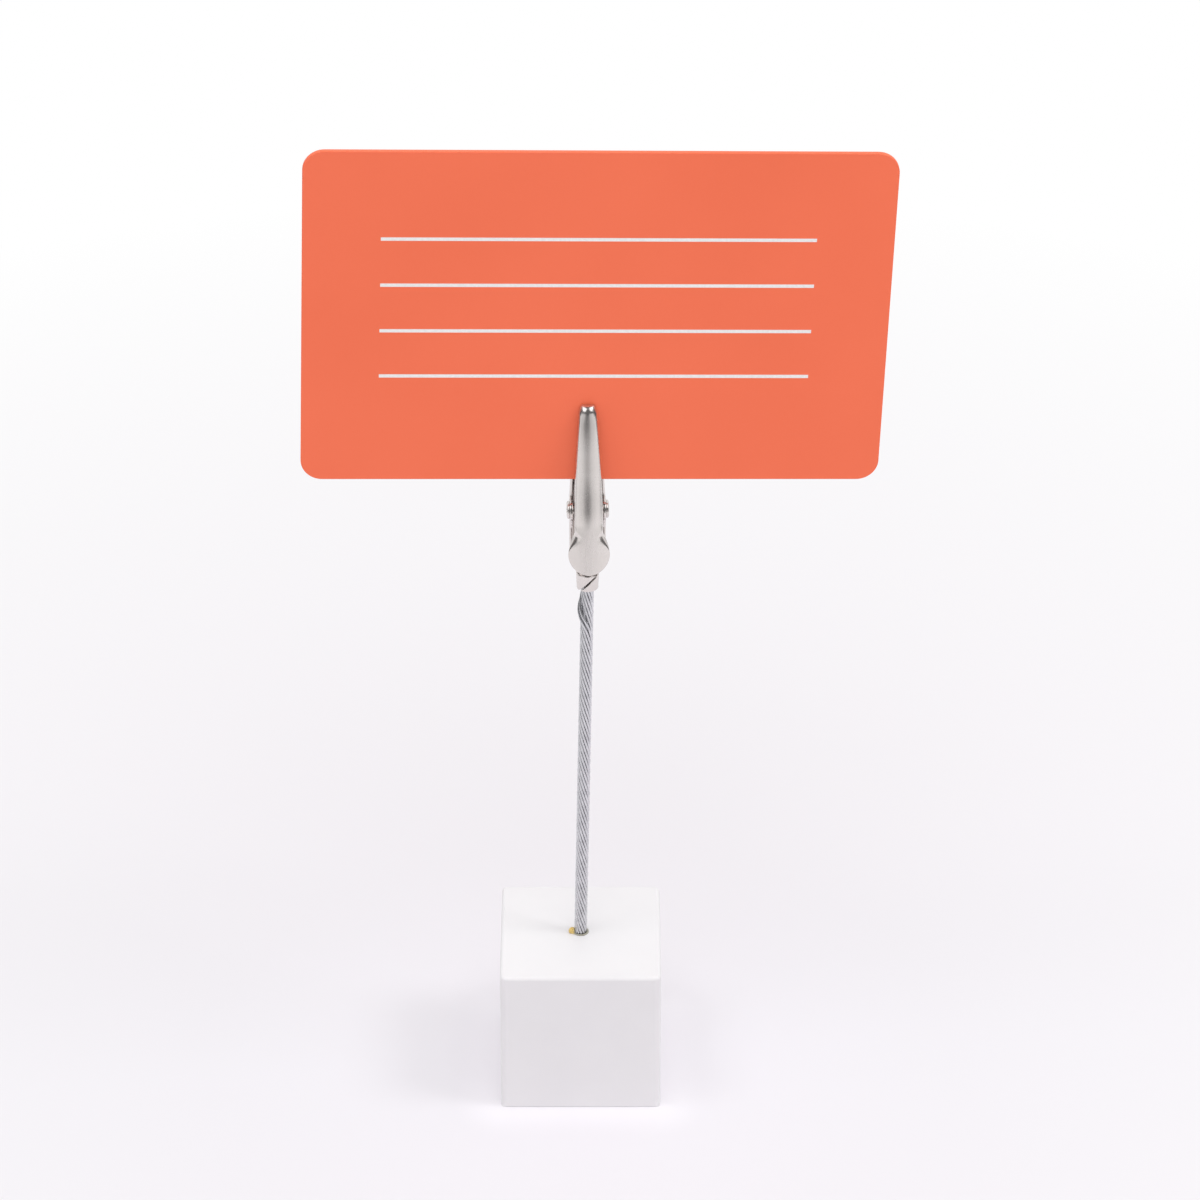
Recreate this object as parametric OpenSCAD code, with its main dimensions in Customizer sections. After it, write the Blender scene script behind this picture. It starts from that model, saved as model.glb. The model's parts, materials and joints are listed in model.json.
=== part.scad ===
// Memo clip holder: a painted block, a wire rope stem and a sprung clip that holds a card.
// The origin is the centre of the block's underside. +Z is up, and the clip faces -Y.

/* [Base block] */
// Edge length of the cube
base_size = 25; // [20:0.5:40]
// Radius of the cube's edges
base_edge_r = 1; // [0.4:0.1:3]
// Depth that the stem is let into the cube
stem_depth = 12; // [6:0.5:16]
// Room under the stem's end in its hole
hole_spare = 1; // [0.5:0.1:2]

/* [Glue] */
// Thickness of the glue between the rope and its hole
glue_film = 0.26; // [0.15:0.01:0.5]
// Clearance of the glue from the rope and from the hole
glue_gap = 0.03; // [0.01:0.01:0.05]
// Width and height of the glue's fillet round the stem
glue_fillet = 0.35; // [0.2:0.05:0.8]
// Radius of the drop that ran out on the left of the stem
glue_drop_r = 0.66; // [0.4:0.02:1]

/* [Wire rope stem] */
// Free length from the block to the clip
stem_free = 63.5; // [40:0.5:120]
// How far the stem's top leans to the right
stem_lean = 1.15; // [0:0.05:4]
// Diameter of one wire
wire_d = 0.38; // [0.3:0.01:0.5]
// Gap between the layers of wires
wire_gap = 0.02; // [0.02:0.005:0.05]
// Length in which the wires make one turn
lay_length = 18; // [15:0.5:30]
// How far the loose wires stand out below the clip
loose_bulge = 0.4; // [0:0.05:0.8]
// Length of stem over which the loose wires stand out
loose_len = 9; // [5:0.5:14]

/* [Clip] */
// Thickness of the steel sheet
sheet = 0.45; // [0.35:0.05:0.55]
// Turn of the clip about the stem, right side away
clip_turn = 3.5; // [0:0.5:15]
// Length of the crimp round the rope's end
crimp_len = 2.8; // [2.4:0.1:3.6]
// Wall of the crimp
crimp_wall = 0.5; // [0.4:0.05:0.6]
// Widening of the crimp's radius towards its top
crimp_flare = 0.12; // [0:0.02:0.2]
// Clearance of the crimp from the rope
crimp_gap = 0.05; // [0.03:0.01:0.1]
// Width of the seam where the crimp's wings meet
seam_w = 0.16; // [0.1:0.02:0.3]
// Distance from the crimp's lower end to the rivet
clip_tail = 14.1; // [13:0.1:18]
// Distance from the rivet to the jaws' tip
clip_nose = 18.2; // [15:0.1:26]
// Distance of the jaws' mouth in front of the rope's axis
mouth_set = 0.6; // [0.4:0.05:1]
// Distance of the rivet in front of the mouth
pivot_set = 0.3; // [0:0.05:0.6]
// Radius of the fixed jaw's ears round the rivet
ear_r = 1.55; // [1.4:0.05:1.8]

/* [Lever] */
// Width of the lever at the rivet
lever_w = 4.2; // [4:0.05:4.8]
// Width of both jaws at the tip
tip_w = 2.2; // [1.8:0.05:2.6]
// Height of the lever's back over the mouth at the rivet
lever_rise = 3.35; // [2.9:0.05:4]
// Height of each jaw's back over the mouth at the tip
tip_rise = 1.05; // [0.8:0.05:1.4]
// Height of the fixed jaw's back over the mouth at the rivet
jaw_rise = 2.5; // [2.2:0.05:3]
// Outward tilt of the lever's tail
tail_tilt = 9; // [6:0.5:12]
// Diameter of the thumb pad
pad_d = 6.2; // [5:0.1:7]
// Distance from the rivet to the thumb pad's centre
pad_reach = 5.3; // [5:0.1:6.5]
// Radius of the lever's ears round the rivet
lever_ear_r = 1.4; // [1.2:0.05:1.5]
// Room between the lever's sides and the fixed jaw's ears
side_gap = 0.15; // [0.1:0.01:0.25]

/* [Rivet and spring] */
// Diameter of the rivet's shank
rivet_d = 1.5; // [1.2:0.05:1.6]
// Diameter of the rivet's heads
rivet_head_d = 2.7; // [2.2:0.1:3]
// Thickness of the rivet's heads
rivet_head_h = 0.42; // [0.3:0.02:0.6]
// Clearance of the rivet in the fixed jaw
rivet_gap = 0.02; // [0.01:0.01:0.04]
// Clearance of the lever's bores on the rivet
lever_gap = 0.05; // [0.02:0.01:0.08]
// Diameter of the spring's wire
spring_wire = 0.5; // [0.4:0.02:0.52]
// Room between the rivet and the spring's coil
spring_room = 0.2; // [0.1:0.02:0.3]
// Room between the spring's ends and the lever's sides
spring_side = 0.24; // [0.15:0.01:0.26]
// Distance from the rivet to the ends of the spring's legs
spring_leg = 4.6; // [3.5:0.1:5]

/* [Card] */
// Width of the card
card_w = 85.6; // [60:0.1:100]
// Height of the card
card_h = 54; // [40:0.1:80]
// Thickness of the card
card_t = 0.76; // [0.5:0.02:0.9]
// Radius of the card's corners
card_r = 3.2; // [1:0.1:8]
// Height of the card's lower edge over the rivet
card_rise = 5.2; // [5:0.1:7]
// Sideways place of the card's lower edge
card_shift = 0.33; // [-5:0.01:5]
// Clockwise tilt of the card
card_tilt = 2.05; // [-3:0.05:3]
// Clearance of the card from each jaw
grip_gap = 0.02; // [0.01:0.01:0.05]

/* [Hidden] */
INNER_WIRES = 6;
OUTER_WIRES = 12;
WIRE_SIDES = 6;
RINGS_PER_LAY = 10;
SPRING_RINGS = 8;
SPRING_TURNS = 2;
LEG_STEPS = 4;
CORNER_STEPS = 4;
NOSE_STEPS = 4;
TIP_STEPS = 4;
EAR_STEPS = 6;
FLARE_STEPS = 4;
PAD_STEPS = 12;
CURVE_FN = 64;
HULL_FN = 32;

// Outer wires that have come loose below the clip
LOOSE = [4, 5];

// The rope: one core wire, a layer of six and a layer of twelve
wire_r = wire_d / 2;
layer_step = wire_d + wire_gap;
rope_r = 2 * layer_step + wire_r;
rope_from = base_size - stem_depth;
clip_z = base_size + stem_free;
rope_to = clip_z + crimp_len;
hole_r = rope_r + glue_film;
hole_from = rope_from - hole_spare;

// Depths in the clip count forward from the rope's axis, and heights up from the crimp's lower end
pivot_depth = mouth_set + pivot_set;
lever_edge = mouth_set + card_t / 2 + grip_gap;
jaw_edge = mouth_set - card_t / 2 - grip_gap;
clip_tip = clip_tail + clip_nose;
jaw_w = lever_w + 2 * side_gap + 2 * sheet;
crimp_bore = rope_r + crimp_gap;
crimp_r = crimp_bore + crimp_wall;
card_from = clip_tail + card_rise;

// Jaw shapes: the nose's rounding, the back's rounding and the end of the ears below the card
tip_round = 1.3;
tip_narrowing = 0.3;
tip_last_angle = 80;
back_round = 1.8;
least_wall = 0.02;
ear_end = 1;
ear_span = 60;
nose_bow = 1.5;
tail_edge = 0.8;
flare_start = 0.3;
flare_len = 3.3;
flare_from = crimp_len + flare_start;
flare_to = flare_from + flare_len;
neck_wall = 1.6;
pad_last_angle = 80;
pad_fold_angle = 12;
seam_slant = 47;

// Rivet heads: the chamfer, the flat rim inside it and the depth of the dish
head_chamfer = 0.27;
head_rim = 0.47;
head_dish = 0.21;

spring_r = rivet_d / 2 + spring_room + spring_wire / 2;
spring_span = lever_w - 2 * sheet - 2 * spring_side - spring_wire;
front_leg_tilt = 25;
back_leg_tilt = 7;
coil_from = front_leg_tilt;
coil_to = 360 * SPRING_TURNS + 180 - back_leg_tilt;
coil_steps = ceil((coil_to - coil_from) * SPRING_RINGS / 360);

function mix(a, b, t) = a + (b - a) * t;
function ease(t) = t * t * (3 - 2 * t);
function clamp01(t) = max(0, min(1, t));

// Places a piece that is drawn in the clip's own frame
module at_clip() {
    translate([stem_lean, 0, clip_z])
        rotate([0, 0, clip_turn])
            children();
}

// Lays a cylinder along X through the rivet's axis
module on_rivet_axis() {
    translate([0, -pivot_depth, clip_tail])
        rotate([0, 90, 0])
            children();
}

// Triangles between ring a and ring b, each of n points, which starts at the point given
function band(a, b, n) = [
    for (j = [0 : n - 1])
        let (k = (j + 1) % n)
            each [[a + j, b + j, b + k], [a + j, b + k, a + k]]
];
function disc(a, n) = [for (j = [1 : n - 2]) [a, a + j, a + j + 1]];
function disc_back(a, n) = [for (j = [1 : n - 2]) [a, a + j + 1, a + j]];

// Closed tube through a list of rings of n points each
module tube(rings, n) {
    count = len(rings);
    polyhedron(
        points = [for (ring = rings) each ring],
        faces = concat(
            disc(0, n),
            [for (i = [0 : count - 2]) each band(i * n, (i + 1) * n, n)],
            disc_back((count - 1) * n, n)));
}

// Base block
module base_block() {
    color("white")
        difference() {
            block_body();
            translate([0, 0, hole_from])
                cylinder(r = hole_r, h = base_size, $fn = CURVE_FN);
        }
}

module block_body() {
    flat = base_size - 2 * base_edge_r;
    translate([0, 0, base_size / 2])
        hull() {
            cube([flat, flat, base_size], center = true);
            cube([flat, base_size, flat], center = true);
            cube([base_size, flat, flat], center = true);
            for (x = [-1, 1], y = [-1, 1], z = [-1, 1])
                translate([x, y, z] * flat / 2)
                    sphere(r = base_edge_r, $fn = HULL_FN);
        }
}

// Glue: a sleeve in the hole, a fillet on the block and a drop beside the stem
module glue_bead() {
    sleeve_in = rope_r + glue_gap;
    sleeve_out = hole_r - glue_gap;
    color("goldenrod") {
        rotate_extrude($fn = CURVE_FN)
            polygon([
                [sleeve_in, rope_from],
                [sleeve_out, rope_from],
                [sleeve_out, base_size],
                [hole_r + glue_fillet, base_size],
                [sleeve_in, base_size + glue_fillet]]);
        difference() {
            translate([-rope_r - glue_drop_r / 2, 0, base_size])
                sphere(r = glue_drop_r, $fn = CURVE_FN);
            translate([0, 0, base_size - glue_drop_r])
                cube([2 * base_size, 2 * base_size, 2 * glue_drop_r], center = true);
            translate([0, 0, base_size - glue_drop_r])
                cylinder(r = sleeve_in, h = 3 * glue_drop_r, $fn = CURVE_FN);
        }
    }
}

// Rope: the axis leans evenly between the block and the clip
function rope_x(z) = stem_lean * clamp01((z - base_size) / stem_free);
function lay_angle(z) = -360 * (z - clip_z) / lay_length;

// Outward bow of a loose wire, which dies out at the clip and lower down the stem
function bow(z) = loose_bulge * pow(sin(180 * clamp01((clip_z - z) / loose_len)), 2);

function wire_ring(z, layer_r, start, is_loose) =
    let (
        reach = layer_r + (is_loose ? bow(z) : 0),
        turn = start + lay_angle(z),
        radial = [cos(turn), sin(turn)],
        side = [-sin(turn), cos(turn)],
        slant = sqrt(1 + pow(2 * PI * layer_r / lay_length, 2)))
    [
        for (j = [0 : WIRE_SIDES - 1])
            let (
                a = 360 * j / WIRE_SIDES,
                p = radial * (reach + wire_r * cos(a)) + side * wire_r * slant * sin(a))
                [rope_x(z) + p[0], p[1], z]
    ];

module wire(layer_r, start, is_loose = false) {
    steps = ceil((rope_to - rope_from) * RINGS_PER_LAY / lay_length);
    color("silver")
        tube(
            [
                for (i = [0 : steps])
                    wire_ring(mix(rope_from, rope_to, i / steps), layer_r, start, is_loose)
            ],
            WIRE_SIDES);
}

module core_wire() {
    wire(0, 0);
}

module inner_wire(i) {
    wire(layer_step, 360 * i / INNER_WIRES);
}

module outer_wire(i) {
    wire(2 * layer_step, 360 * i / OUTER_WIRES, len(search(i, LOOSE)) > 0);
}

// Bent sheet: each station is [height, half width, depth of the back, depth of the edges]
function bend(half, back, edge, r) =
    let (way = back > edge ? 1 : -1)
    concat(
        [[-half, edge]],
        [
            for (i = [0 : CORNER_STEPS])
                let (a = 90 * i / CORNER_STEPS)
                    [-half + r - r * cos(a), back - way * r * (1 - sin(a))]
        ],
        [
            for (i = [CORNER_STEPS : -1 : 0])
                let (a = 90 * i / CORNER_STEPS)
                    [half - r + r * cos(a), back - way * r * (1 - sin(a))]
        ],
        [[half, edge]]);

function station_points(s) =
    let (
        way = s[2] > s[3] ? 1 : -1,
        tall = abs(s[2] - s[3]),
        r = min(back_round, s[1] - least_wall, tall - least_wall),
        r_in = max(least_wall, min(r - sheet, tall - sheet - least_wall)),
        back_in = s[3] + way * max(tall - sheet, 2 * least_wall),
        outside = bend(s[1], s[2], s[3], r),
        inside = bend(s[1] - sheet, back_in, s[3], r_in),
        n = len(inside))
    concat(
        [for (p = outside) [p[0], -p[1], s[0]]],
        [for (i = [n - 1 : -1 : 0]) [inside[i][0], -inside[i][1], s[0]]]);

// End of a bent sheet, as quads between the outer and the inner outline
function bent_end(a, n) = [
    for (j = [0 : n / 2 - 2])
        let (k = n - 1 - j)
            each [[a + j, a + j + 1, a + k - 1], [a + j, a + k - 1, a + k]]
];
function turned(faces) = [for (f = faces) [f[0], f[2], f[1]]];

module bent_sheet(stations) {
    rings = [for (s = stations) station_points(s)];
    n = len(rings[0]);
    count = len(rings);
    faces = concat(
        bent_end(0, n),
        [for (i = [0 : count - 2]) each band(i * n, (i + 1) * n, n)],
        turned(bent_end((count - 1) * n, n)));
    opens_back = stations[0][2] > stations[0][3];
    polyhedron(
        points = [for (ring = rings) each ring],
        faces = opens_back ? faces : turned(faces));
}

// Both noses taper from the rivet to the tip and close over it in a quarter round
function nose_half(wide, u) = mix(wide, tip_w, pow(u, nose_bow)) / 2;
function nose_tall(rise, u) = mix(rise, tip_rise, u);

function nose_station(u, wide, rise, edge, way) = [
    clip_tail + clip_nose * u,
    nose_half(wide, u),
    edge + way * nose_tall(rise, u),
    edge
];

function tip_station(a, wide, rise, edge, way) =
    let (u = 1 - tip_round * (1 - sin(a)) / clip_nose)
    [
        clip_tail + clip_nose * u,
        nose_half(wide, u) - tip_narrowing * (1 - cos(a)),
        edge + way * mix(sheet + least_wall, nose_tall(rise, u), cos(a)),
        edge
    ];

function nose(from, wide, rise, edge, way) =
    let (
        first = from / clip_nose,
        last = 1 - tip_round / clip_nose)
    concat(
        [
            for (i = [0 : NOSE_STEPS - 1])
                nose_station(mix(first, last, i / NOSE_STEPS), wide, rise, edge, way)
        ],
        [
            for (i = [0 : TIP_STEPS])
                tip_station(tip_last_angle * i / TIP_STEPS, wide, rise, edge, way)
        ]);

// Ears: round lobes whose edge goes round the rivet
function ear_edge(a, r, way) = pivot_depth + way * r * cos(a);
function ear_height(a, r) = clip_tail + r * sin(a);
ear_angles = [for (i = [0 : EAR_STEPS]) mix(-ear_span, ear_span, i / EAR_STEPS)];

// Lever: thumb pad, neck, ears and nose in one bent sheet
function lever_back(z) =
    z < clip_tail
    ? lever_edge + lever_rise + (clip_tail - z) * tan(tail_tilt)
    : lever_edge + nose_tall(lever_rise, (z - clip_tail) / clip_nose);

function lever_ear(a) =
    let (z = ear_height(a, lever_ear_r))
    [
        z,
        nose_half(lever_w, max(0, (z - clip_tail) / clip_nose)),
        lever_back(z),
        ear_edge(a, lever_ear_r, -1)
    ];

// The pad is round, and the lever's sides fold up out of its shoulders at the neck
pad_neck_angle = acos(lever_w / pad_d);
function pad_station(a) =
    let (
        z = clip_tail - pad_reach + pad_d / 2 * sin(a),
        fold = ease(clamp01((a - pad_fold_angle) / (pad_neck_angle - pad_fold_angle))))
    [z, pad_d / 2 * cos(a), lever_back(z), lever_back(z) - mix(sheet + least_wall, neck_wall, fold)];

module lever() {
    color("gainsboro")
        at_clip()
            difference() {
                bent_sheet(concat(
                    [
                        for (i = [0 : PAD_STEPS])
                            pad_station(mix(-pad_last_angle, pad_neck_angle, i / PAD_STEPS))
                    ],
                    [for (a = ear_angles) lever_ear(a)],
                    nose(card_rise - ear_end, lever_w, lever_rise, lever_edge, 1)));
                on_rivet_axis()
                    cylinder(r = rivet_d / 2 + lever_gap, h = 2 * jaw_w, center = true, $fn = CURVE_FN);
            }
}

// Fixed jaw: crimp, tail, ears and nose in one bent sheet
function jaw_back(z) = mix(
    -crimp_r, jaw_edge - jaw_rise, ease(clamp01((z - flare_from) / (clip_tail - flare_from))));
function jaw_half(z) = mix(crimp_r, jaw_w / 2, ease(clamp01((z - flare_from) / (flare_to - flare_from))));

function jaw_tail(z) = [z, jaw_half(z), jaw_back(z), mix(0, tail_edge, clamp01(z / flare_to))];
function jaw_ear(a) =
    let (z = ear_height(a, ear_r))
    [
        z,
        jaw_w / 2,
        z < clip_tail ? jaw_back(z) : jaw_edge - nose_tall(jaw_rise, (z - clip_tail) / clip_nose),
        ear_edge(a, ear_r, 1)
    ];

module fixed_jaw() {
    root_z = crimp_len / 2;
    ear_foot = clip_tail - 2 * ear_r;
    color("silver")
        at_clip()
            difference() {
                union() {
                    bent_sheet(concat(
                        [jaw_tail(root_z), jaw_tail(flare_from)],
                        [
                            for (i = [1 : FLARE_STEPS])
                                jaw_tail(mix(flare_from, flare_to, i / FLARE_STEPS))
                        ],
                        [jaw_tail(ear_foot)],
                        [for (a = ear_angles) jaw_ear(a)],
                        nose(card_rise - ear_end, jaw_w, jaw_rise, jaw_edge, -1)));
                    cylinder(r1 = crimp_r, r2 = crimp_r + crimp_flare, h = crimp_len, $fn = CURVE_FN);
                }
                translate([0, 0, -crimp_len])
                    cylinder(r = crimp_bore, h = 3 * crimp_len, $fn = CURVE_FN);
                crimp_seam();
                on_rivet_axis()
                    cylinder(r = rivet_d / 2 + rivet_gap, h = 2 * jaw_w, center = true, $fn = CURVE_FN);
            }
}

// The crimp's two wings meet in a slanting seam at the front
module crimp_seam() {
    translate([0, -crimp_r, crimp_len / 2])
        rotate([0, -seam_slant, 0])
            cube([4 * crimp_len, 2 * crimp_r, seam_w], center = true);
}

// Rivet: a shank with a dished head at each end
module pivot_rivet() {
    seat = jaw_w / 2 + rivet_gap;
    color("gray")
        at_clip()
            on_rivet_axis() {
                cylinder(d = rivet_d, h = 2 * seat + rivet_head_h, center = true, $fn = CURVE_FN);
                for (way = [0, 1])
                    mirror([0, 0, way])
                        translate([0, 0, seat])
                            rivet_head();
            }
}

module rivet_head() {
    head_r = rivet_head_d / 2;
    rotate_extrude($fn = CURVE_FN)
        polygon([
            [0, 0],
            [head_r, 0],
            [head_r, rivet_head_h - head_chamfer],
            [head_r - head_chamfer, rivet_head_h],
            [head_r - head_chamfer - head_rim, rivet_head_h],
            [0, rivet_head_h - head_dish]]);
}

// Spring: a leg under the lever, the coil round the rivet and a leg on the fixed jaw
// Each stop on the spring is [middle of the wire, outward direction], in depth and height
function coil_stop(angle, along) =
    let (out = [0, -cos(angle), sin(angle)])
    [[along, -pivot_depth, clip_tail] + spring_r * out, out];
function leg_stop(angle, along, run, way) =
    let (
        foot = coil_stop(angle, along),
        down = [0, -way * sin(angle), -way * cos(angle)])
    [foot[0] + run * down, foot[1]];

spring_stops = concat(
    [for (i = [LEG_STEPS : -1 : 1]) leg_stop(coil_from, -spring_span / 2, spring_leg * i / LEG_STEPS, 1)],
    [
        for (i = [0 : coil_steps])
            let (t = i / coil_steps)
                coil_stop(mix(coil_from, coil_to, t), mix(-spring_span / 2, spring_span / 2, t))
    ],
    [for (i = [1 : LEG_STEPS]) leg_stop(coil_to, spring_span / 2, spring_leg * i / LEG_STEPS, -1)]);

function spring_ring(stop) = [
    for (j = [0 : WIRE_SIDES - 1])
        let (a = 360 * j / WIRE_SIDES)
            stop[0] + spring_wire / 2 * (stop[1] * cos(a) + [1, 0, 0] * sin(a))
];

// Least gap between stretches of the spring that are more than half a turn apart along the wire
spring_gap = min([
    for (i = [0 : len(spring_stops) - 1], j = [i + SPRING_RINGS / 2 : 1 : len(spring_stops) - 1])
        norm(spring_stops[i][0] - spring_stops[j][0])
]) - spring_wire;
echo(spring_gap = spring_gap);

module torsion_spring() {
    color("dimgray")
        at_clip()
            tube([for (stop = spring_stops) spring_ring(stop)], WIRE_SIDES);
}

// Card, held by its lower edge
module memo_card() {
    color("coral")
        at_clip()
            translate([card_shift, -mouth_set, card_from])
                rotate([90, card_tilt, 0])
                    translate([0, card_h / 2, 0])
                        linear_extrude(card_t, center = true)
                            card_outline();
}

module card_outline() {
    square([card_w - 2 * card_r, card_h], center = true);
    square([card_w, card_h - 2 * card_r], center = true);
    for (x = [-1, 1], y = [-1, 1])
        translate([x * (card_w / 2 - card_r), y * (card_h / 2 - card_r)])
            circle(r = card_r, $fn = CURVE_FN);
}

base_block();
glue_bead();
fixed_jaw();
lever();
pivot_rivet();
torsion_spring();
memo_card();
core_wire();
for (i = [1 : INNER_WIRES])
    inner_wire(i);
for (i = [1 : OUTER_WIRES])
    outer_wire(i);
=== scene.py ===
"""Memo clip holder: the looks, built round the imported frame.

Shapes are drawn in millimetres and brought to metres when a piece is made.
Depth in the clip counts forward from the rope's axis, and height up from the crimp's lower end.
"""

import json
import math

import bmesh
import bpy
import numpy as np
from mathutils import Matrix, Vector


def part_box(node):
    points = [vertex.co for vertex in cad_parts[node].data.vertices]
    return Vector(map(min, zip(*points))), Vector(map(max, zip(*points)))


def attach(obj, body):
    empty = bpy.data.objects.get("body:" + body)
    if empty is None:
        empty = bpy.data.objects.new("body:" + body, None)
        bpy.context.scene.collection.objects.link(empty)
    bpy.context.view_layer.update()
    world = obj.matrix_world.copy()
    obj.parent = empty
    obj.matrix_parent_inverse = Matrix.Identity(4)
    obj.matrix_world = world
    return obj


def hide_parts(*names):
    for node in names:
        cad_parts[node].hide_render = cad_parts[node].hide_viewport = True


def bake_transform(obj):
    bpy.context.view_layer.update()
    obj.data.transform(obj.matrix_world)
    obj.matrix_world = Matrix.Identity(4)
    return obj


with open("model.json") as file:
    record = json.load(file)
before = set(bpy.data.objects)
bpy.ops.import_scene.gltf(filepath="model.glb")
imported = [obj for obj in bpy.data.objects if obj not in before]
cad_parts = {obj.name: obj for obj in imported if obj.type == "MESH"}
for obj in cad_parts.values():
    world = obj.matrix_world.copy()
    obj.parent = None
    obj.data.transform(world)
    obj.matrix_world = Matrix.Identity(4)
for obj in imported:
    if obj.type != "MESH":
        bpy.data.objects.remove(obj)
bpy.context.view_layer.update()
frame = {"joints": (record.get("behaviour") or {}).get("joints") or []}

MM = 0.001
MERGE_GAP = 1e-5

# Angles past which an edge stays sharp
SHARP_ANGLE = 35.0
PLAIN_SHARP_ANGLE = 40.0
SPRING_SHARP_ANGLE = 50.0
WIRE_SHARP_ANGLE = 60.0

# Block and glue
CORNER_EDGE_R = 1.0
TOP_EDGE_R = 0.6
FOOT_EDGE_R = 0.18
EDGE_SEGMENTS = 6
HOLE_R = 1.25
HOLE_DEPTH = 13.0
HOLE_SIDES = 64
GLUE_GAP = 0.03
GLUE_FILM_DEPTH = 1.2
GLUE_FILLET_H = 0.2
GLUE_SKIRT = 0.06
GLUE_SKIRT_H = 0.12
GLUE_DROP_R = 0.57
GLUE_DROP_OUT = 0.58 * GLUE_DROP_R
GLUE_DROP_UP = 0.55 * GLUE_DROP_R
GLUE_DROP_FORWARD = 0.22
GLUE_CUT = 5.0
GLUE_SIDES = 72
GLUE_VOXEL = 0.03
GLUE_SOFTEN = 8

# Wire rope: a core wire, a layer of six and a layer of twelve
WIRE_R = 0.19
ROPE_LAYERS = (("inner_wire", 6), ("outer_wire", 12))
LAYER_STEP = 0.40
ROPE_R = len(ROPE_LAYERS) * LAYER_STEP + WIRE_R
STEM_DEPTH = 12.0
LAY_LENGTH = 18.0
LOOSE_WIRES = (4, 5)
LOOSE_BULGE = 0.55
LOOSE_LENGTH = 9.0
WIRE_SIDES = 12
RINGS_PER_LAY = 56

# Clip
SHEET = 0.45
CRIMP_LEN = 2.8
CRIMP_BORE = 1.04
CRIMP_WALL = 0.58
CRIMP_FLARE = 0.12
CRIMP_DIP = 0.35
CRIMP_ROUND = 0.12
SEAM_W = 0.24
SEAM_SLANT = 47.0
CLIP_TAIL = 14.1
CLIP_NOSE = 18.05
MOUTH_SET = 0.6
PIVOT_DEPTH = 0.9
EAR_R = 1.55
LEVER_EAR_R = 1.4
EAR_SPAN = 60.0
EAR_END = 1.0
JAW_EAR_TOP = 84.0
JAW_EAR_FOOT = 0.25
LEVER_W = 4.2
JAW_W = 5.4
TIP_W = 2.5
LEVER_RISE = 3.35
JAW_RISE = 2.5
TIP_RISE = 1.05
TIP_ROUND = 1.1
TIP_END_W = 1.3
TIP_TAPER = 0.75
TIP_LAST_ANGLE = 87.0
NOSE_BOW = 1.5
JAW_BOW = 1.3
TAIL_EDGE = 0.8
FLARE_START = 0.3
FLARE_LEN = 3.3
PAD_D = 6.2
PAD_REACH = 5.9
PAD_LAST_ANGLE = 86.0
PAD_SHOULDER = 3.8
PAD_FOLD_FROM = 0.7
PAD_FOLD_TOP = 2.9
PAD_FOLD_TO = 4.2
NECK_WALL = 1.6
NECK_FILLET = 0.8
SHOULDER_CORNER_R = 1.5
LEAST_WALL = 0.02
EDGE_ROUND = 0.14
CORNER_R = 0.5
CROWN_R = 3.4
TIP_CROWN_R = 1.2
TIP_CROWN_LEN = 3.5
PAD_CORNER_R = 0.25
PAD_CORNER_SHARE = 0.6
PAD_CROWN_R = 8.0
CROWN_FROM = 9.5
CROWN_TO = 13.5
BACK_SWELL = 0.25
# Height on the clip and tilt of the lever's back there, in degrees
BACK_TILTS = (
    (5, 3.6),
    (12.5, 3.8),
    (15.7, 9.0),
    (17.5, 9.0),
    (21.5, 5.7),
    (25, 5.7),
    (29, 8.0),
    (32.3, 10.0),
)

# How finely the clip is drawn
CORNER_STEPS = 8
CROWN_STEPS = 12
EDGE_ANGLES = (30, 60, 90, 120, 150)
STATION_GAP = 0.3
BACK_SAMPLES = 400
NOSE_STEPS = 32
TIP_STEPS = 16
PAD_STEPS = 24
NECK_STEPS = 4
FLARE_STEPS = 20
TAIL_STEPS = 8
LEVER_EAR_STEPS = 20
JAW_EAR_STEPS = 24
CRIMP_STEPS = 16
CRIMP_SIDES = 72
BORE_SIDES = 48

# Rivet and spring
RIVET_R = 0.75
RIVET_GAP = 0.02
LEVER_GAP = 0.05
HEAD_R = 1.35
HEAD_H = 0.42
HEAD_RIM = 0.12
HEAD_SHOULDER = 1.4 * HEAD_RIM
HEAD_CROWN_R = 0.92
HEAD_DISH = 0.21
HEAD_DISH_R = 0.62
RIM_FROM = -60.0
RIM_TO = 20.0
DISH_TO = 75.0
RIM_STEPS = 4
HEAD_STEPS = 6
RIVET_SIDES = 64
SPRING_R = 1.2
SPRING_WIRE_R = 0.25
SPRING_HALF_SPAN = 1.16
SPRING_TURNS = 2
SPRING_LEG = 4.6
FRONT_LEG_TILT = 25.0
BACK_LEG_TILT = 7.0
SPRING_SIDES = 12
COIL_STEPS = 110
LEG_STEPS = 10

# Card
CARD_W = 85.6
CARD_H = 54.0
CARD_T = 0.76
CARD_R = 3.2
CARD_EDGE = 0.12
CARD_EDGE_STEPS = 4
CARD_CORNER_STEPS = 16
CARD_RISE = 5.2
CARD_SHIFT = 0.33
CARD_TILT = 2.05
GRIP_GAP = 0.02

# Floor, with the shares of its reach where its colour starts and stops to change; its lighter colour
# near the block is painted light
FLOOR_REACH = 300.0
# Reach of the light painted on the floor round the block's foot, in millimetres
FLOOR_PAINTED_LIGHT_REACH = 8.0
FLOOR_NEAR_SHARE = 0.07
FLOOR_OPEN_SHARE = 0.20

# Lamps: name, place and diameter in metres, watts
LIGHT_AIM = (0.0, 0.0, 0.06)
FILL_LAMPS = (
    ("lamp_left", (-0.32, -0.12, 0.80), 0.30, 0.7),
    ("lamp_right", (0.52, -0.12, 0.72), 0.30, 1.45),
    ("lamp_overhead", (0.0, -0.42, 1.10), 0.8, 2.8),
)
SOFTBOXES = (
    ("softbox_left", (-0.42, -0.37, 0.69), 0.62, 1.7),
    ("softbox_right", (0.50, -0.26, 0.69), 0.62, 1.7),
)

# Soft light all round
AMBIENT = 0.785

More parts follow.
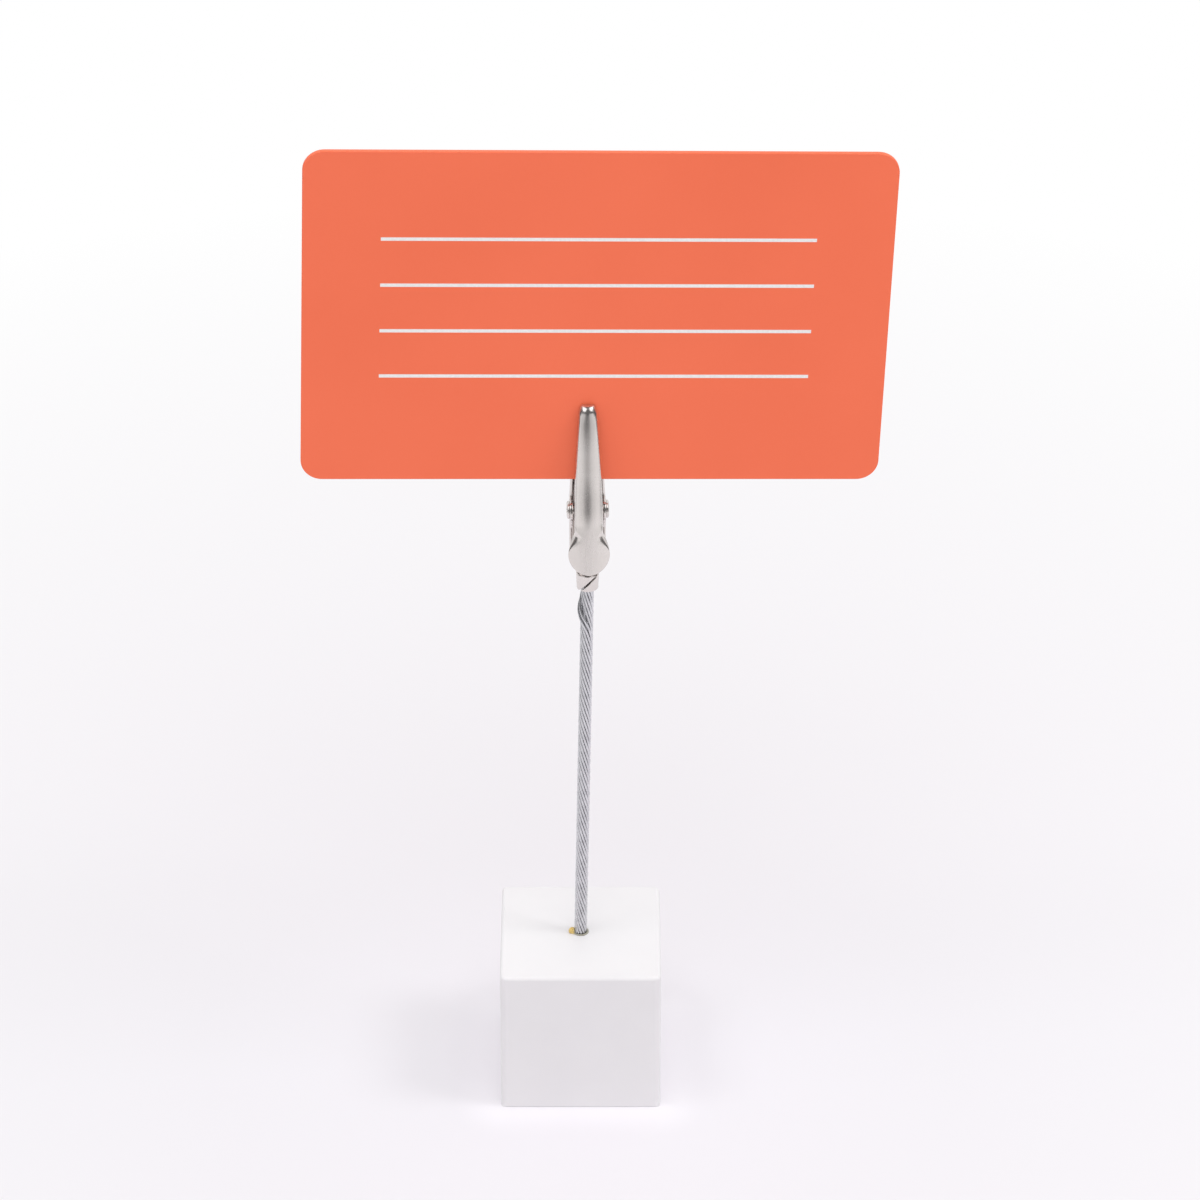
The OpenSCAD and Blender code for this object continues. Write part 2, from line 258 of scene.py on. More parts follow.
# Room that metal mirrors: between which components of the direction each part fades, and how dim it is
ROOM_DIM = 0.90
ROOM_BEFORE = (-0.985, -0.866)
ROOM_VEIL = (-0.82, -0.55)
ROOM_VEIL_SHARE = 0.36
ROOM_ABOVE = (0.0, 0.18)
ROOM_BESIDE = (0.80, 0.93)
ROOM_TO_BACKDROP = (0.05, 0.5)
ROOM_FAR_SIDE = (0.35, 0.80)
ROOM_LOW = (-0.02, 0.05)
ROOM_LOW_SHARE = 0.6

# Camera, from a fit to the photograph's card and block
CAMERA_DISTANCE = 0.768
CAMERA_ELEVATION = 31.86
CAMERA_TARGET = (0.00303, 0.0, 0.08617)
FOCAL_PIXELS = 5104.0
PHOTO_PIXELS = 1200.0
SENSOR_MM = 36.0
CAMERA_NEAR = 0.01
CAMERA_FAR = 20.0

# Places that the frame gives
BASE_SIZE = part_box("base_block")[1].z / MM
lever_joint = next(j for j in frame["joints"] if j["name"] == "lever_pivot")
rivet_axis = Vector(lever_joint["axis"]).normalized()
clip_turn = math.atan2(rivet_axis.y, rivet_axis.x)
pivot = Vector(lever_joint["pos_m"]) / MM
clip_rotation = Matrix.Rotation(clip_turn, 4, "Z")
clip_origin = pivot - clip_rotation @ Vector((0, -PIVOT_DEPTH, CLIP_TAIL))
AT_CLIP = Matrix.Translation(clip_origin) @ clip_rotation
AT_RIVET = Matrix.Translation((0, -PIVOT_DEPTH, CLIP_TAIL)) @ Matrix.Rotation(math.radians(90), 4, "Y")
STEM_LEAN = clip_origin.x
CLIP_Z = clip_origin.z
ROPE_FROM = BASE_SIZE - STEM_DEPTH
ROPE_TO = CLIP_Z + CRIMP_LEN

LEVER_EDGE = MOUTH_SET + CARD_T / 2 + GRIP_GAP
JAW_EDGE = MOUTH_SET - CARD_T / 2 - GRIP_GAP
CRIMP_R = CRIMP_BORE + CRIMP_WALL
FLARE_FROM = CRIMP_LEN + FLARE_START
FLARE_TO = FLARE_FROM + FLARE_LEN
CARD_FROM = CLIP_TAIL + CARD_RISE


# Small helpers
def mix(a, b, t):
    return a + (b - a) * t


def clamp01(t):
    return max(0.0, min(1.0, t))


def ease(t):
    return t * t * (3 - 2 * t)


def steps(start, end, count):
    """Evenly spaced values from start to end, both included."""
    return [mix(start, end, i / count) for i in range(count + 1)]


def sin_deg(a):
    return math.sin(math.radians(a))


def cos_deg(a):
    return math.cos(math.radians(a))


# Meshes
def new_object(name, points, faces):
    mesh = bpy.data.meshes.new(name)
    mesh.from_pydata([tuple(p) for p in points], [], faces)
    mesh.validate()
    obj = bpy.data.objects.new(name, mesh)
    bpy.context.scene.collection.objects.link(obj)
    return obj


def ring_bands(count, n):
    """Quads between count rings of n points each."""
    faces = []
    for i in range(count - 1):
        for j in range(n):
            k = (j + 1) % n
            faces.append((i * n + j, i * n + k, (i + 1) * n + k, (i + 1) * n + j))
    return faces


def tube(name, rings):
    """Closed tube through rings of points."""
    n = len(rings[0])
    count = len(rings)
    faces = ring_bands(count, n)
    faces.append(tuple(reversed(range(n))))
    faces.append(tuple(range((count - 1) * n, count * n)))
    return new_object(name, [p for ring in rings for p in ring], faces)


def lathe(name, profile, sides):
    """Solid turned about Z from (radius, height) points that start and end on the axis."""
    inner = profile[1:-1]
    n = len(inner)
    points = []
    for i in range(sides):
        a = 2 * math.pi * i / sides
        points += [(r * math.cos(a), r * math.sin(a), z) for r, z in inner]
    foot = len(points)
    points += [(0, 0, profile[0][1]), (0, 0, profile[-1][1])]
    faces = []
    for i in range(sides):
        k = (i + 1) % sides
        faces += [(i * n + j, k * n + j, k * n + j + 1, i * n + j + 1) for j in range(n - 1)]
        faces.append((foot, k * n, i * n))
        faces.append((i * n + n - 1, k * n + n - 1, foot + 1))
    return new_object(name, points, faces)


def rod(name, radius, foot, top, sides):
    """Plain cylinder about Z."""
    return lathe(name, [(0, foot), (radius, foot), (radius, top), (0, top)], sides)


def fix_normals(obj):
    edit = bmesh.new()
    edit.from_mesh(obj.data)
    bmesh.ops.remove_doubles(edit, verts=edit.verts, dist=MERGE_GAP)
    bmesh.ops.recalc_face_normals(edit, faces=edit.faces)
    edit.to_mesh(obj.data)
    edit.free()


def bake_modifiers(obj):
    """Turns the modified shape into the object's own mesh."""
    shaped = obj.evaluated_get(bpy.context.evaluated_depsgraph_get())
    mesh = bpy.data.meshes.new_from_object(shaped)
    obj.modifiers.clear()
    old = obj.data
    obj.data = mesh
    bpy.data.meshes.remove(old)


def combine(obj, tool, operation):
    """Cuts tool from obj, or adds it, and removes the tool."""
    fix_normals(obj)
    fix_normals(tool)
    change = obj.modifiers.new("combine", "BOOLEAN")
    change.operation = operation
    change.solver = "EXACT"
    change.object = tool
    bake_modifiers(obj)
    bpy.data.objects.remove(tool)


def smooth(obj, angle=SHARP_ANGLE):
    obj.data.shade_smooth()
    obj.data.set_sharp_from_angle(angle=math.radians(angle))
    weighted = obj.modifiers.new("normals", "WEIGHTED_NORMAL")
    weighted.keep_sharp = True


def to_metres(obj, place=Matrix.Identity(4)):
    obj.data.transform(Matrix.Scale(MM, 4) @ place)


def dress(obj, material, node):
    obj.data.materials.clear()
    obj.data.materials.append(material)
    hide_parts(node)


# Bent sheet
# A station is (height, half width, depth of the back, depth of the edges, corner radius, crown radius)
def crown_span(half, corner, crown):
    """Angle that the crowned back spans to each side, and how far it falls there."""
    turn = math.degrees(math.asin((half - corner) / (crown - corner)))
    return turn, crown * (1 - cos_deg(turn))


def bend(half, back, lip, corner, crown, way):
    """One face of the sheet: side, corner, crowned back, corner, side."""
    turn, fall = crown_span(half, corner, crown)
    centre = back - way * (fall + corner * cos_deg(turn))
    right = [
        (half - corner + corner * sin_deg(a), centre + way * corner * cos_deg(a))
        for a in steps(turn, 90, CORNER_STEPS)
    ]
    left = [(-x, d) for x, d in reversed(right)]
    back_arc = steps(-turn, turn, CROWN_STEPS)[1:-1]
    middle = [(crown * sin_deg(a), back - way * crown * (1 - cos_deg(a))) for a in back_arc]
    return [(-half, lip), *left, *middle, *right, (half, lip)]


def sheet_edge(half, edge, depth, way):
    """Rounded edge of the sheet on the right, from its outer to its inner face."""
    middle = half - SHEET / 2
    points = []
    for a in EDGE_ANGLES:
        across = math.copysign(math.sqrt(abs(cos_deg(a))), cos_deg(a))
        points.append((middle + SHEET / 2 * across, edge + way * depth * (1 - math.sqrt(sin_deg(a)))))
    return points


def station_ring(station):
    z, half, back, edge, corner, crown = station
    way = 1 if back > edge else -1
    tall = abs(back - edge)
    room = tall - crown_span(half, min(corner, half / 2), crown)[1] - LEAST_WALL
    corner = min(corner, half - LEAST_WALL, room)
    hollow = max(tall - SHEET, 2 * LEAST_WALL)
    half_in = half - SHEET
    corner_in = max(LEAST_WALL, min(corner - SHEET, hollow / 3, half_in / 2))
    crown_in = max(crown - SHEET, half_in**2 / hollow)
    side = tall - crown_span(half, corner, crown)[1] - corner
    side_in = hollow - crown_span(half_in, corner_in, crown_in)[1] - corner_in
    rounding = max(min(EDGE_ROUND, side, side_in - LEAST_WALL / 2), LEAST_WALL / 4)
    lip = edge + way * rounding
    outside = bend(half, back, lip, corner, crown, way)
    inside = bend(half_in, edge + way * hollow, lip, corner_in, crown_in, way)
    right = sheet_edge(half, edge, rounding, way)
    left = [(-x, d) for x, d in reversed(right)]
    outline = [*outside, *right, *reversed(inside), *left]
    return [(x, -d, z) for x, d in outline]


def filled(stations, back_at):
    """Adds stations where two lie far apart, with the back on its own line."""
    made = [stations[0]]
    for before, after in zip(stations, stations[1:]):
        count = max(1, math.ceil((after[0] - before[0]) / STATION_GAP))
        for t in steps(0, 1, count)[1:-1]:
            z, half, _, edge, corner, crown = [mix(a, b, t) for a, b in zip(before, after)]
            made.append((z, half, back_at(z), edge, corner, crown))
        made.append(after)
    return made


def bent_sheet(name, stations, back_at):
    rings = [station_ring(s) for s in filled(stations, back_at)]
    n = len(rings[0])
    outer = 2 * CORNER_STEPS + CROWN_STEPS + 3
    edge_points = len(EDGE_ANGLES)
    faces = ring_bands(len(rings), n)
    for first in (0, (len(rings) - 1) * n):
        for j in range(outer - 1):
            k = 2 * outer + edge_points - 1 - j
            faces.append((first + j, first + j + 1, first + k - 1, first + k))
        right_lip = [first + outer - 1 + j for j in range(edge_points + 2)]
        left_lip = [first + 2 * outer + edge_points - 1 + j for j in range(edge_points + 1)]
        faces.append(tuple(right_lip))
        faces.append((*left_lip, first))
    obj = new_object(name, [p for ring in rings for p in ring], faces)
    fix_normals(obj)
    return obj


def nose_half(wide, u):
    return mix(wide, TIP_W, max(0.0, u) ** NOSE_BOW) / 2


def crown_at(z):
    """Crown radius of the back, which is flat on the pad and tightens towards the tip."""
    from_tip = CLIP_TAIL + CLIP_NOSE - z
    along = mix(PAD_CROWN_R, CROWN_R, ease(clamp01((z - CROWN_FROM) / (CROWN_TO - CROWN_FROM))))
    return mix(TIP_CROWN_R, along, ease(clamp01(from_tip / TIP_CROWN_LEN)))


def nose(wide, back_at, edge):
    """Stations of a nose, which tapers to the tip and closes over it in a quarter round."""
    first = (CARD_RISE - EAR_END) / CLIP_NOSE
    last = 1 - TIP_ROUND / CLIP_NOSE
    stations = []
    for u in steps(first, last, NOSE_STEPS)[:-1]:
        z = CLIP_TAIL + CLIP_NOSE * u
        stations.append((z, nose_half(wide, u), back_at(z), edge, CORNER_R, crown_at(z)))
    for a in steps(0, TIP_LAST_ANGLE, TIP_STEPS):
        u = 1 - TIP_ROUND * (1 - sin_deg(a)) / CLIP_NOSE
        z = CLIP_TAIL + CLIP_NOSE * u
        way = 1 if back_at(z) > edge else -1
        tall = mix(SHEET + LEAST_WALL, abs(back_at(z) - edge), cos_deg(a))
        half = mix(TIP_END_W / 2, nose_half(wide, u), cos_deg(a) ** TIP_TAPER)
        stations.append((z, half, edge + way * tall, edge, CORNER_R, crown_at(z)))
    return stations


# Lever
def back_profile():
    """Heights on the clip, and the depths that the tilts of the lever's back add up to there."""
    heights = np.linspace(BACK_TILTS[0][0], BACK_TILTS[-1][0], BACK_SAMPLES)
    slopes = np.tan(np.radians(np.interp(heights, *zip(*BACK_TILTS))))
    falls = np.concatenate([[0], np.cumsum((slopes[1:] + slopes[:-1]) / 2 * np.diff(heights))])
    at_rivet = np.interp(CLIP_TAIL, heights, falls)
    return heights, LEVER_EDGE + LEVER_RISE + BACK_SWELL + at_rivet - falls


BACK_HEIGHTS, BACK_DEPTHS = back_profile()


def lever_back(z):
    return float(np.interp(z, BACK_HEIGHTS, BACK_DEPTHS))


def soft_max(a, b, reach):
    """The larger value, rounded off where the two are within reach of each other."""
    near = max(reach - abs(a - b), 0) / reach
    return max(a, b) + near * near * reach / 4


def pad_station(z):
    """The round pad, whose shoulders fold back into the side walls at the neck."""
    above = z - (CLIP_TAIL - PAD_REACH)
    rise = PAD_SHOULDER if above > 0 else PAD_D / 2
    half = PAD_D / 2 * math.sqrt(max(0, 1 - (above / rise) ** 2))
    if above > 0:
        half = soft_max(half, LEVER_W / 2, NECK_FILLET)
    fold = ease(clamp01((above - PAD_FOLD_FROM) / (PAD_FOLD_TOP - PAD_FOLD_FROM)))
    tighten = ease(clamp01((above - PAD_FOLD_TOP) / (PAD_FOLD_TO - PAD_FOLD_TOP)))
    wall = mix(SHEET + LEAST_WALL, NECK_WALL, fold)
    corner = mix(mix(PAD_CORNER_R, SHOULDER_CORNER_R, fold), CORNER_R, tighten)
    corner = min(corner, half * PAD_CORNER_SHARE)
    fall = crown_span(half, corner, crown_at(z))[1]
    return (z, half, lever_back(z), lever_back(z) - fall - wall, corner, crown_at(z))


def lever_ear(a):
    z = CLIP_TAIL + LEVER_EAR_R * sin_deg(a)
    half = nose_half(LEVER_W, (z - CLIP_TAIL) / CLIP_NOSE)
    return (z, half, lever_back(z), PIVOT_DEPTH - LEVER_EAR_R * cos_deg(a), CORNER_R, crown_at(z))


def rivet_hole(radius):
    """Drill along the rivet's axis, in the clip's frame."""
    drill = rod("drill", radius, -JAW_W, JAW_W, BORE_SIDES)
    drill.data.transform(AT_RIVET)
    return drill


def make_lever(material):
    pad_z = CLIP_TAIL - PAD_REACH
    pad_heights = [pad_z + PAD_D / 2 * sin_deg(a) for a in steps(-PAD_LAST_ANGLE, 0, PAD_STEPS)]
    pad_heights += steps(pad_z, pad_z + PAD_FOLD_TO, PAD_STEPS)[1:]
    stations = [pad_station(z) for z in pad_heights]
    stations += [lever_ear(a) for a in steps(-EAR_SPAN, EAR_SPAN, LEVER_EAR_STEPS)]
    stations += nose(LEVER_W, lever_back, LEVER_EDGE)
    obj = bent_sheet("lever_stamping", stations, lever_back)
    combine(obj, rivet_hole(RIVET_R + LEVER_GAP), "DIFFERENCE")
    to_metres(obj, AT_CLIP)
    smooth(obj)
    dress(obj, material, "lever")
    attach(obj, "lever")


# Fixed jaw
def jaw_back(z):
    if z > CLIP_TAIL:
        return JAW_EDGE - mix(JAW_RISE, TIP_RISE, ((z - CLIP_TAIL) / CLIP_NOSE) ** JAW_BOW)
    return mix(-CRIMP_R, JAW_EDGE - JAW_RISE, ease(clamp01((z - FLARE_FROM) / (CLIP_TAIL - FLARE_FROM))))


def jaw_tail(z):
    flare = ease(clamp01((z - FLARE_FROM) / (FLARE_TO - FLARE_FROM)))
    half = mix(CRIMP_R, JAW_W / 2, flare)
    corner = mix(CRIMP_R - LEAST_WALL, CORNER_R, flare)
    return (z, half, jaw_back(z), mix(0, TAIL_EDGE, clamp01(z / FLARE_TO)), corner, CROWN_R)


def jaw_nose_start():
    """Where the rounded ear has run down to the nose's straight edge."""
    z = CLIP_TAIL + EAR_R + JAW_EAR_FOOT
    half = nose_half(JAW_W, (z - CLIP_TAIL) / CLIP_NOSE)
    return (z, half, jaw_back(z), JAW_EDGE, CORNER_R, CROWN_R)


def jaw_ear(a):
    z = CLIP_TAIL + EAR_R * sin_deg(a)
    return (z, JAW_W / 2, jaw_back(z), PIVOT_DEPTH + EAR_R * cos_deg(a), CORNER_R, CROWN_R)


def crimp_barrel():
    """The crimp's two wings, rolled round the rope, with a slanting seam between them at the front."""
    # Way along a rounded end and what is worn off there, as shares of the rounding
    ends = [(0.0, 1.0), (0.2, 0.45), (0.6, 0.1), (1.0, 0.0)]
    levels = [(CRIMP_ROUND * up, CRIMP_ROUND * thin) for up, thin in ends]
    levels += [(h, 0.0) for h in steps(CRIMP_ROUND, CRIMP_LEN - CRIMP_ROUND, CRIMP_STEPS)[1:-1]]
    levels += [(CRIMP_LEN - CRIMP_ROUND * up, CRIMP_ROUND * thin) for up, thin in reversed(ends)]
    lip_turn = CRIMP_ROUND / CRIMP_R
    half_gap = SEAM_W / 2 / sin_deg(SEAM_SLANT) / CRIMP_R
    lip = [CRIMP_ROUND * worn for _, worn in ends]
    lips = [*lip, *[0.0] * (CRIMP_SIDES - 1), *reversed(lip)]
    rings = []
    for height, thin in levels:
        t = height / CRIMP_LEN
        seam_x = (height - CRIMP_LEN / 2) / math.tan(math.radians(SEAM_SLANT))
        seam = math.asin(max(-1.0, min(1.0, seam_x / CRIMP_R)))
        start = seam + half_gap
        stop = seam + 2 * math.pi - half_gap
        turns = [start + lip_turn * up for up, _ in ends]
        turns += steps(start + lip_turn, stop - lip_turn, CRIMP_SIDES)[1:-1]
        turns += [stop - lip_turn * up for up, _ in reversed(ends)]
        outer = []
        inner = []
        for a, lip_worn in zip(turns, lips):
            dip = CRIMP_DIP * t * clamp01(math.sin(a)) ** 2
            worn = max(thin, lip_worn)
            for ring, radius in [(outer, CRIMP_R + CRIMP_FLARE * t - worn), (inner, CRIMP_BORE + worn)]:
                ring.append((radius * math.sin(a), -radius * math.cos(a), height - dip))
        rings.append([*outer, *reversed(inner)])
    n = len(rings[0])
    count = len(rings)
    faces = ring_bands(count, n)
    for first in (0, (count - 1) * n):
        for j in range(n // 2 - 1):
            faces.append((first + j, first + j + 1, first + n - 2 - j, first + n - 1 - j))
    return new_object("barrel", [p for ring in rings for p in ring], faces)


def make_fixed_jaw(material):
    stations = [jaw_tail(z) for z in steps(CRIMP_LEN / 2, FLARE_FROM, NECK_STEPS)]
    stations += [jaw_tail(z) for z in steps(FLARE_FROM, FLARE_TO, FLARE_STEPS)[1:]]
    stations += [jaw_tail(z) for z in steps(FLARE_TO, CLIP_TAIL - 2 * EAR_R, TAIL_STEPS)[1:]]
    stations += [jaw_ear(a) for a in steps(-EAR_SPAN, JAW_EAR_TOP, JAW_EAR_STEPS)]
    stations.append(jaw_nose_start())
    stations += nose(JAW_W, jaw_back, JAW_EDGE)
    obj = bent_sheet("fixed_jaw_stamping", stations, jaw_back)
    combine(obj, crimp_barrel(), "UNION")
    combine(obj, rivet_hole(RIVET_R + RIVET_GAP), "DIFFERENCE")
    to_metres(obj, AT_CLIP)
    smooth(obj)
    dress(obj, material, "fixed_jaw")
    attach(obj, "clip")


# Rivet and spring
def make_rivet(material):
    """A turned shank with a head at both ends, each with a round rim and a dish in its middle."""
    seat = JAW_W / 2 + RIVET_GAP
    top = seat + HEAD_H
    dish_z = top - HEAD_DISH
    rim_r = HEAD_R - HEAD_RIM
    rim_z = seat + HEAD_RIM
    rim_angles = steps(RIM_FROM, RIM_TO, RIM_STEPS)
    dish_angles = steps(0, DISH_TO, HEAD_STEPS)
    head = [(RIVET_R, seat), (HEAD_R - HEAD_RIM / 2, seat)]
    head += [(rim_r + HEAD_RIM * cos_deg(a), rim_z + HEAD_RIM * sin_deg(a)) for a in rim_angles]
    for a in steps(RIM_TO, 90, HEAD_STEPS):
        head.append((mix(HEAD_CROWN_R, HEAD_R, cos_deg(a)), mix(seat + HEAD_SHOULDER, top, sin_deg(a))))
    head += [(HEAD_DISH_R * cos_deg(a), top - HEAD_DISH * sin_deg(a)) for a in dish_angles]
    lower = [(r, -z) for r, z in reversed(head)]
    obj = lathe("rivet_turned", [(0, -dish_z), *lower, *head, (0, dish_z)], RIVET_SIDES)
    fix_normals(obj)
    to_metres(obj, AT_CLIP @ AT_RIVET)
    smooth(obj)
    dress(obj, material, "pivot_rivet")
    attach(obj, "clip")


def spring_stops():
    """Middle of the wire and its outward direction: front leg, coil round the rivet, back leg."""
    coil_from = FRONT_LEG_TILT
    coil_to = 360 * SPRING_TURNS + 180 - BACK_LEG_TILT
    middle = Vector((0, -PIVOT_DEPTH, CLIP_TAIL))

    def coil_stop(angle, along):
        out = Vector((0, -cos_deg(angle), sin_deg(angle)))
        return middle + Vector((along, 0, 0)) + SPRING_R * out, out

    def leg(angle, along, way):
        foot, out = coil_stop(angle, along)
        down = Vector((0, -way * sin_deg(angle), -way * cos_deg(angle)))
        return [(foot + down * run, out) for run in steps(0, SPRING_LEG, LEG_STEPS)[1:]]

    coil = []
    for t in steps(0, 1, COIL_STEPS):
        coil.append(coil_stop(mix(coil_from, coil_to, t), mix(-SPRING_HALF_SPAN, SPRING_HALF_SPAN, t)))
    front = leg(coil_from, -SPRING_HALF_SPAN, 1)
    back = leg(coil_to, SPRING_HALF_SPAN, -1)
    return [*reversed(front), *coil, *back]


def make_spring(material):
    across = Vector((1, 0, 0))
    round_wire = [2 * math.pi * j / SPRING_SIDES for j in range(SPRING_SIDES)]
    rings = []
    for middle, out in spring_stops():
        spokes = [out * math.cos(a) + across * math.sin(a) for a in round_wire]
        rings.append([middle + SPRING_WIRE_R * spoke for spoke in spokes])
    obj = tube("spring_wound", rings)
    fix_normals(obj)
    to_metres(obj, AT_CLIP)
    smooth(obj, SPRING_SHARP_ANGLE)
    dress(obj, material, "torsion_spring")
    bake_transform(obj)


# Wire rope
def wire_rings(layer_r, start, is_loose):
    rings_wanted = math.ceil((ROPE_TO - ROPE_FROM) * RINGS_PER_LAY / LAY_LENGTH)
    slant = math.sqrt(1 + (2 * math.pi * layer_r / LAY_LENGTH) ** 2)
    round_wire = [2 * math.pi * j / WIRE_SIDES for j in range(WIRE_SIDES)]
    rings = []
    for z in steps(ROPE_FROM, ROPE_TO, rings_wanted):
        reach = layer_r
        if is_loose:
            reach += LOOSE_BULGE * math.sin(math.pi * clamp01((CLIP_Z - z) / LOOSE_LENGTH)) ** 2
        turn = start - 2 * math.pi * (z - CLIP_Z) / LAY_LENGTH
        out = Vector((math.cos(turn), math.sin(turn), 0))
        side = Vector((-math.sin(turn), math.cos(turn), 0))
        axis = Vector((STEM_LEAN * clamp01((z - BASE_SIZE) / (CLIP_Z - BASE_SIZE)), 0, z))
        rings.append(
            [
                axis + out * (reach + WIRE_R * math.cos(a)) + side * (WIRE_R * slant * math.sin(a))
                for a in round_wire
            ]
        )
    return rings


def make_wire(node, layer_r, start, material, is_loose=False):
    obj = tube(node.replace("wire", "strand"), wire_rings(layer_r, start, is_loose))
    fix_normals(obj)
    to_metres(obj)
    obj.data.shade_smooth()
    obj.data.set_sharp_from_angle(angle=math.radians(WIRE_SHARP_ANGLE))
    dress(obj, material, node)
    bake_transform(obj)


def make_rope(material):
    make_wire("core_wire", 0, 0, material)
    for layer, (word, count) in enumerate(ROPE_LAYERS, start=1):
        for i in range(1, count + 1):
            is_loose = word == "outer_wire" and i in LOOSE_WIRES
            start = 2 * math.pi * i / count
            make_wire(f"{word}_{i}", layer * LAYER_STEP, start, material, is_loose)


# Block
def make_block(material):
    edit = bmesh.new()
    bmesh.ops.create_cube(edit, size=BASE_SIZE)
    weights = edit.edges.layers.float.new("bevel_weight_edge")
    for edge in edit.edges:
        heights = [v.co.z for v in edge.verts]
        radius = CORNER_EDGE_R
        if min(heights) > 0:
            radius = TOP_EDGE_R
        if max(heights) < 0:
            radius = FOOT_EDGE_R
        edge[weights] = radius / CORNER_EDGE_R
    obj = new_object("painted_block", [], [])
    edit.to_mesh(obj.data)
    edit.free()
    obj.data.transform(Matrix.Translation((0, 0, BASE_SIZE / 2)))
    round_edges = obj.modifiers.new("round_edges", "BEVEL")
    round_edges.limit_method = "WEIGHT"
    round_edges.width = CORNER_EDGE_R
    round_edges.segments = EDGE_SEGMENTS
    bake_modifiers(obj)
    drill = rod("drill", HOLE_R, BASE_SIZE - HOLE_DEPTH, BASE_SIZE + HOLE_DEPTH, HOLE_SIDES)
    combine(obj, drill, "DIFFERENCE")
    to_metres(obj)
    smooth(obj, PLAIN_SHARP_ANGLE)
    dress(obj, material, "base_block")
    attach(obj, "base")


# Glue
def glue_drop():
    """Round drop on the left of the rope, before it is cut clear of the rope and the block."""
    place = (-ROPE_R - GLUE_DROP_OUT, -GLUE_DROP_FORWARD, BASE_SIZE + GLUE_DROP_UP)
    edit = bmesh.new()
    bmesh.ops.create_icosphere(edit, subdivisions=4, radius=GLUE_DROP_R)
    edit.transform(Matrix.Translation(place))
    drop = new_object("drop", [], [])
    edit.to_mesh(drop.data)
    edit.free()
    return drop


def make_glue(material):
    """A film in the hole, a thin skirt on the block and the drop on the left, run together."""
    inner = ROPE_R + GLUE_GAP
    outer = HOLE_R - GLUE_GAP
    film_z = BASE_SIZE - GLUE_FILM_DEPTH
    skirt_z = BASE_SIZE + GLUE_GAP
    section = [
        (inner, film_z),
        (outer, film_z),
        (outer, skirt_z),
        (HOLE_R + GLUE_SKIRT, skirt_z),
        (HOLE_R, BASE_SIZE + GLUE_SKIRT_H),
        (inner, BASE_SIZE + GLUE_FILLET_H),
    ]
    n = len(section)
    points = []
    faces = []
    for i in range(GLUE_SIDES):
        a = 2 * math.pi * i / GLUE_SIDES
        k = (i + 1) % GLUE_SIDES
        points += [(r * math.cos(a), r * math.sin(a), z) for r, z in section]
        faces += [(i * n + j, k * n + j, k * n + (j + 1) % n, i * n + (j + 1) % n) for j in range(n)]
    obj = new_object("glue_run", points, faces)
    combine(obj, glue_drop(), "UNION")
    rope = rod("bore", inner, BASE_SIZE - GLUE_CUT, BASE_SIZE + GLUE_CUT, GLUE_SIDES)
    combine(obj, rope, "DIFFERENCE")
    under = rod("under", GLUE_CUT, BASE_SIZE - GLUE_CUT, skirt_z, GLUE_SIDES)
    sleeve = rod("sleeve", outer, BASE_SIZE - 2 * GLUE_CUT, BASE_SIZE + 2 * GLUE_CUT, GLUE_SIDES)
    combine(under, sleeve, "DIFFERENCE")
    combine(obj, under, "DIFFERENCE")
    voxels = obj.modifiers.new("voxels", "REMESH")
    voxels.mode = "VOXEL"
    voxels.voxel_size = GLUE_VOXEL
    soften = obj.modifiers.new("soften", "SMOOTH")
    soften.iterations = GLUE_SOFTEN
    bake_modifiers(obj)
    to_metres(obj)
    obj.data.shade_smooth()
    dress(obj, material, "glue_bead")
    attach(obj, "base")


# Card
def card_outline(inset):
    corner = CARD_R - inset
    points = []
    for quarter, (sx, sy) in enumerate([(1, 1), (-1, 1), (-1, -1), (1, -1)]):
        for a in steps(90 * quarter, 90 * quarter + 90, CARD_CORNER_STEPS):
            x = sx * (CARD_W / 2 - CARD_R) + corner * cos_deg(a)
            y = sy * (CARD_H / 2 - CARD_R) + corner * sin_deg(a)
            points.append((x, y))
    return points


def card_place():
    turn = Matrix.Rotation(math.radians(CARD_TILT), 4, "Y") @ Matrix.Rotation(math.radians(90), 4, "X")
    lower_edge = Matrix.Translation((CARD_SHIFT, -MOUTH_SET, CARD_FROM))
    return AT_CLIP @ lower_edge @ turn @ Matrix.Translation((0, CARD_H / 2, 0))


def make_card(material):
    half = CARD_T / 2
    rings = []
    for a in steps(-90, 0, CARD_EDGE_STEPS):
        rings.append((CARD_EDGE * (1 - cos_deg(a)), -half + CARD_EDGE * (1 + sin_deg(a))))
    for a in steps(0, 90, CARD_EDGE_STEPS):
        rings.append((CARD_EDGE * (1 - cos_deg(a)), half - CARD_EDGE * (1 - sin_deg(a))))
    obj = tube("sample_card", [[(x, y, t) for x, y in card_outline(inset)] for inset, t in rings])
    fix_normals(obj)
    to_metres(obj, card_place())
    smooth(obj, PLAIN_SHARP_ANGLE)
    dress(obj, material, "memo_card")
    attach(obj, "card")


# Materials
NOISE_ROUGHNESS = 0.55


